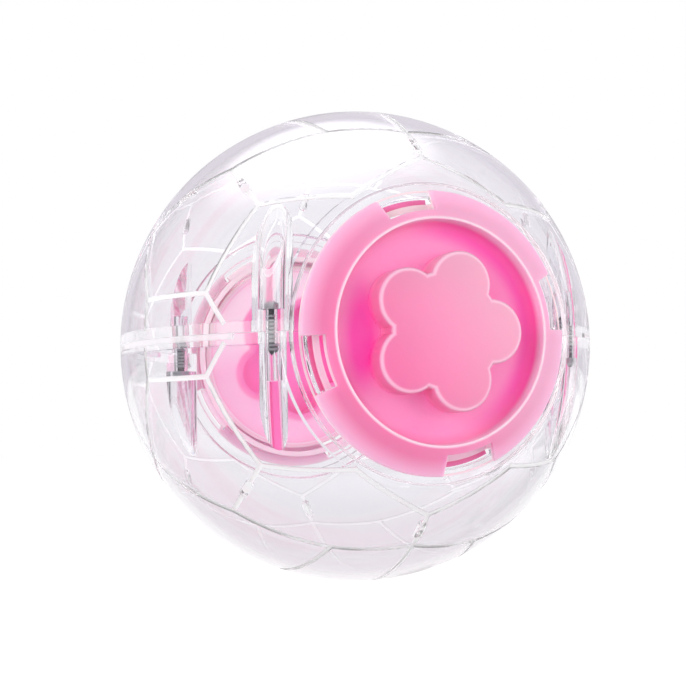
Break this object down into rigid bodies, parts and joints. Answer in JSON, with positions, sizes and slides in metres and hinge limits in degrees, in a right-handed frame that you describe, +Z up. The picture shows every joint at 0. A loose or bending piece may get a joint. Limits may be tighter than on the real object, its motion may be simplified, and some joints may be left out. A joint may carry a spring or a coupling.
{
  "type": "hamster ball",
  "caption": "Clear ball for a small pet to run inside, made of two screwed half-shells, with a round lift-off door with a flower-shaped grip at each end.",
  "frame": {"origin": "middle of the ball, on the seam between the halves", "axes": "+Z up and square to the seam, -Y out of the front door along both doors' common axis, +X to the right seen from the front door"},
  "size_m": [0.12, 0.1122, 0.12],
  "materials": {
    "clear_polystyrene": "polished, transparent",
    "pink_polystyrene": "moulded, slightly translucent",
    "zinc_plated_steel": "bright zinc plate"
  },
  "bodies": {
    "ball": {"upper_shell": "clear_polystyrene", "lower_shell": "clear_polystyrene", "screw_front_left": "zinc_plated_steel", "screw_back_right": "zinc_plated_steel", "screw_front_right": "zinc_plated_steel", "screw_back_left": "zinc_plated_steel"},
    "front_door": {"front_door": "pink_polystyrene"},
    "back_door": {"back_door": "pink_polystyrene"}
  },
  "joints": [
    {"name": "front_door_lift_off", "type": "slide", "parent": "ball", "child": "front_door", "axis": [0, -1, 0], "range_m": [0, 0.08]},
    {"name": "back_door_lift_off", "type": "slide", "parent": "ball", "child": "back_door", "axis": [0, 1, 0], "range_m": [0, 0.08]}
  ]
}
